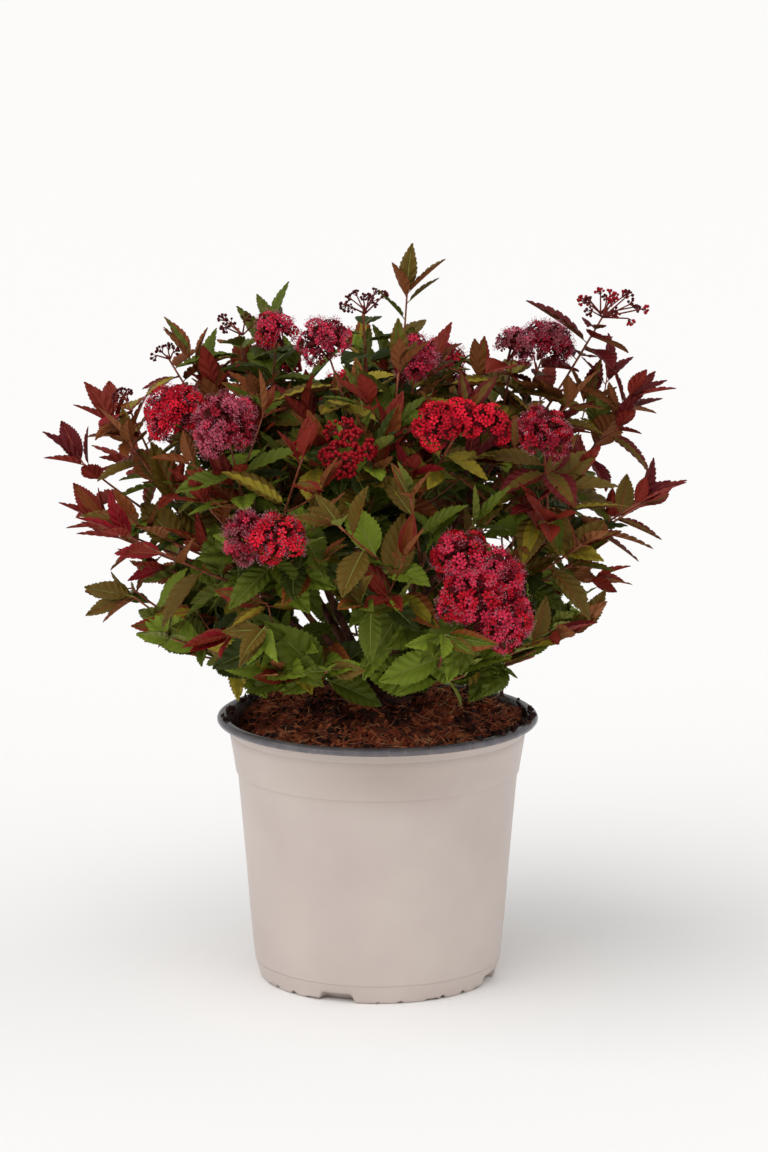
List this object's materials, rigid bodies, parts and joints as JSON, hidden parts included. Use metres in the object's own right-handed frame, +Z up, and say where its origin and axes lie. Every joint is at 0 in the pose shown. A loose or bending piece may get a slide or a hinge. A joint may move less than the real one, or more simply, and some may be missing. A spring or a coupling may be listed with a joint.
{
  "type": "potted spirea shrub",
  "caption": "Flowering spirea shrub in a round tapered nursery pot: fanned woody stems, bronze-green lance-shaped leaves and red-pink flower clusters.",
  "frame": {"origin": "middle of the pot's flat underside, on the ground it stands on", "axes": "+Z up; -Y is the shrub's front, +X its right as seen from the front"},
  "size_m": [0.4648, 0.4537, 0.5466],
  "materials": {
    "pot_plastic": "injection-moulded polypropylene, warm off-white with a dark grey lip, semi-matte",
    "potting_mix": "moist bark and coir potting mix, loose and rough",
    "bark": "thin reddish-brown bark of young spirea stems",
    "leaf_green": "deep to yellowish green leaves, pleated by their veins",
    "leaf_bronze": "bronze to burgundy young leaves with red-pink flower heads"
  },
  "bodies": {
    "root": {"pot": "pot_plastic", "soil": "potting_mix", "stem_base": "bark", "bough_low_1": "bark", "bough_low_2": "bark", "bough_low_3": "bark", "bough_low_4": "bark", "bough_low_5": "bark", "bough_low_6": "bark", "bough_low_7": "bark", "bough_mid_1": "bark", "bough_mid_2": "bark", "bough_mid_3": "bark", "bough_mid_4": "bark", "bough_mid_5": "bark", "bough_mid_6": "bark", "bough_mid_7": "bark", "bough_high_1": "bark", "bough_high_2": "bark", "bough_high_3": "bark", "bough_high_4": "bark", "bough_top": "bark", "foliage_low_1": "leaf_green", "foliage_low_2": "leaf_green", "foliage_low_3": "leaf_green", "foliage_low_4": "leaf_green", "foliage_low_5": "leaf_green", "foliage_low_6": "leaf_green", "foliage_low_7": "leaf_green", "foliage_mid_1": "leaf_bronze", "foliage_mid_2": "leaf_bronze", "foliage_mid_3": "leaf_bronze", "foliage_mid_4": "leaf_bronze", "foliage_mid_5": "leaf_bronze", "foliage_mid_6": "leaf_bronze", "foliage_mid_7": "leaf_bronze", "foliage_high_1": "leaf_bronze", "foliage_high_2": "leaf_bronze", "foliage_high_3": "leaf_bronze", "foliage_high_4": "leaf_bronze", "foliage_top": "leaf_bronze"}
  },
  "joints": []
}
